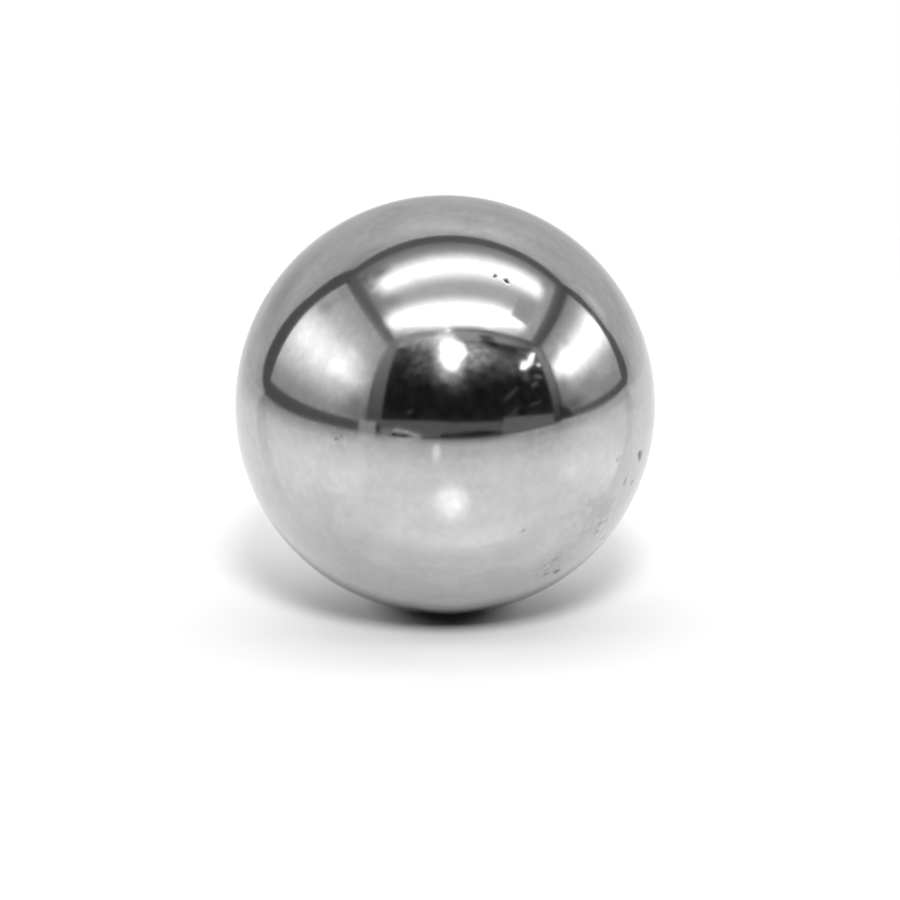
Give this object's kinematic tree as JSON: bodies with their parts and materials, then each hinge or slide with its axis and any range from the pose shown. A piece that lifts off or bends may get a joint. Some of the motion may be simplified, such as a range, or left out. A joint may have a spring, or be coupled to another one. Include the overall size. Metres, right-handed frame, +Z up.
{
  "type": "steel ball",
  "caption": "Polished one-piece steel ball, a true sphere with mirror finish and small handling nicks, for seats, tracks, races and bench use.",
  "frame": {"origin": "centre of the ball", "axes": "+Z up, away from the surface that the ball stands on; -Y is the front, and +X the side with most of the nicks"},
  "size_m": [0.0254, 0.0254, 0.0254],
  "materials": {
    "polished_steel": "mirror-polished bare steel with fine haze and small dark nicks"
  },
  "bodies": {
    "root": {"ball": "polished_steel"}
  },
  "joints": []
}
